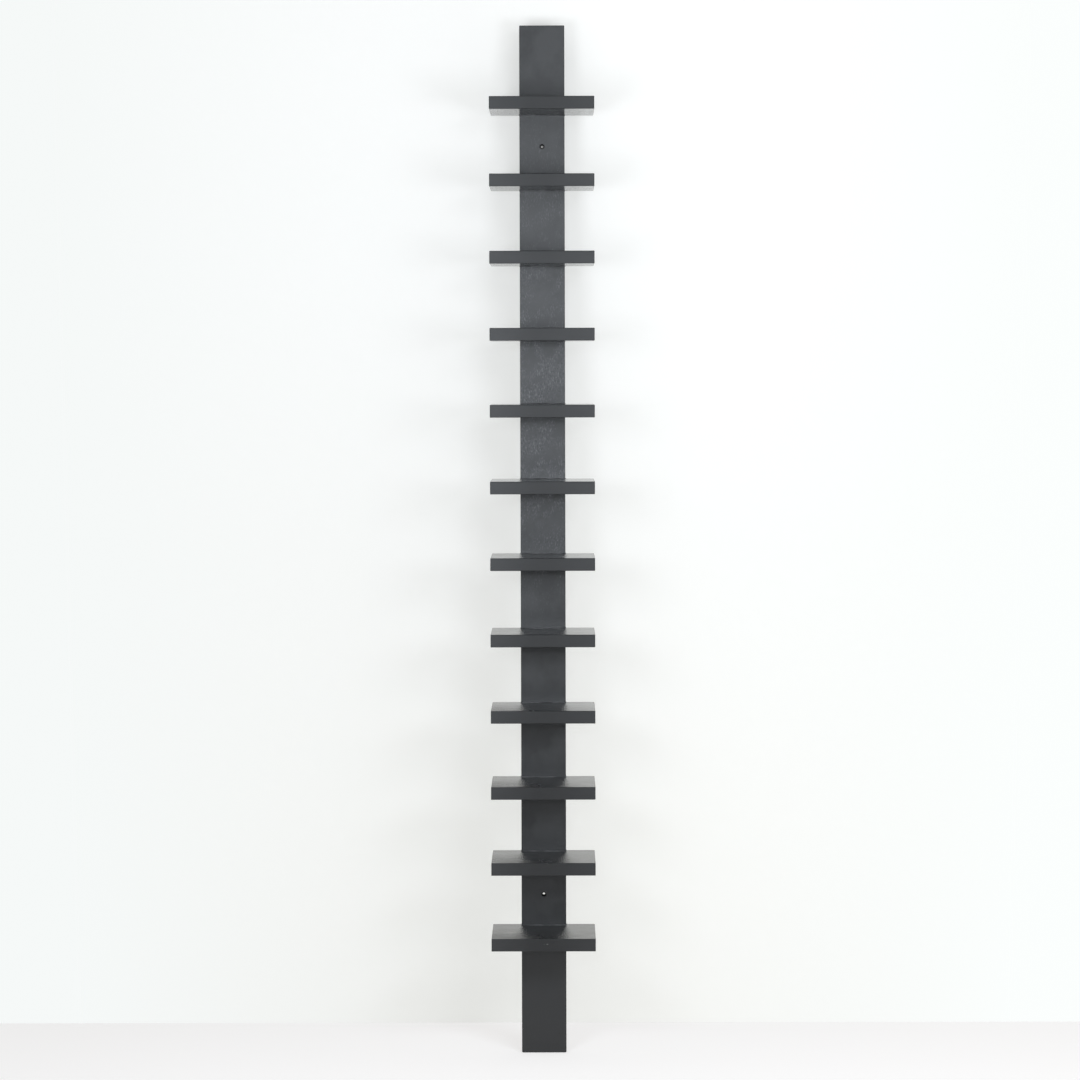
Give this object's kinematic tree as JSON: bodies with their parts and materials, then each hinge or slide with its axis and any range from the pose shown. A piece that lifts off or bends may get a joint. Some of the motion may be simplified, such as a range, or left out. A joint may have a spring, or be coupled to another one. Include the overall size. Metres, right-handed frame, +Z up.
{
  "type": "wall shelf",
  "caption": "Tall narrow wall shelf: an upright back board crossed by short cantilevered shelves that are notched round it, in satin black, hung by wall screws through the board.",
  "frame": {"origin": "middle of the back board's back face, at mount wall_face", "axes": "+Z up along the board, +Y out of the back face into the wall, -Y towards the room, +X to the right seen from the room"},
  "size_m": [0.209, 0.19, 2.1],
  "materials": {
    "upright_black_satin": "satin black lacquer, slightly marked by use",
    "shelf_black_satin": "satin black lacquer, slightly marked by use",
    "screw_zinc": "bright zinc plated"
  },
  "bodies": {
    "root": {"back_board": "upright_black_satin", "shelf_01": "shelf_black_satin", "shelf_01_screw_left": "screw_zinc", "shelf_01_screw_right": "screw_zinc", "shelf_02": "shelf_black_satin", "shelf_02_screw_left": "screw_zinc", "shelf_02_screw_right": "screw_zinc", "shelf_03": "shelf_black_satin", "shelf_03_screw_left": "screw_zinc", "shelf_03_screw_right": "screw_zinc", "shelf_04": "shelf_black_satin", "shelf_04_screw_left": "screw_zinc", "shelf_04_screw_right": "screw_zinc", "shelf_05": "shelf_black_satin", "shelf_05_screw_left": "screw_zinc", "shelf_05_screw_right": "screw_zinc", "shelf_06": "shelf_black_satin", "shelf_06_screw_left": "screw_zinc", "shelf_06_screw_right": "screw_zinc", "shelf_07": "shelf_black_satin", "shelf_07_screw_left": "screw_zinc", "shelf_07_screw_right": "screw_zinc", "shelf_08": "shelf_black_satin", "shelf_08_screw_left": "screw_zinc", "shelf_08_screw_right": "screw_zinc", "shelf_09": "shelf_black_satin", "shelf_09_screw_left": "screw_zinc", "shelf_09_screw_right": "screw_zinc", "shelf_10": "shelf_black_satin", "shelf_10_screw_left": "screw_zinc", "shelf_10_screw_right": "screw_zinc", "shelf_11": "shelf_black_satin", "shelf_11_screw_left": "screw_zinc", "shelf_11_screw_right": "screw_zinc", "shelf_12": "shelf_black_satin", "shelf_12_screw_left": "screw_zinc", "shelf_12_screw_right": "screw_zinc"}
  },
  "joints": []
}
